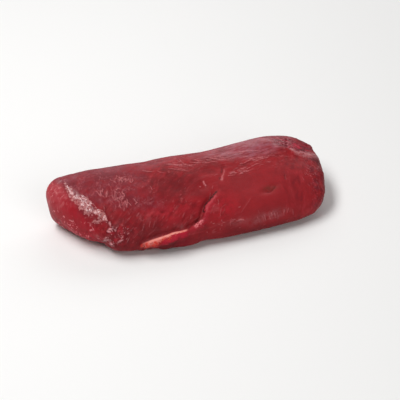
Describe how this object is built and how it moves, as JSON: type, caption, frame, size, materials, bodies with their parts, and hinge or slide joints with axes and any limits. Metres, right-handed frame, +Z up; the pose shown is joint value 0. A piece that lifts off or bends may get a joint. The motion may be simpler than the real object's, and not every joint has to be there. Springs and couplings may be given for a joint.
{
  "type": "raw venison loin fillet",
  "caption": "Whole raw venison loin fillet, a long boneless bar of dark red meat with a smooth domed cut end, a ragged end, an overlapping muscle seam and a thin flap on its near flank.",
  "frame": {"origin": "on the surface that the fillet lies on, under the middle of its bounding box", "axes": "+X along the fillet from the smooth cut end to the ragged end, +Y from the near flank with the flap to the steep far flank, +Z up"},
  "size_m": [0.2446, 0.0906, 0.0464],
  "materials": {
    "meat": "raw lean meat: deep red, moist and softly glossy, with a purple-grey membrane sheen along the crest, pale fibres, a lighter cut end and a salmon edge on the flap"
  },
  "bodies": {
    "root": {"fillet": "meat"}
  },
  "joints": []
}
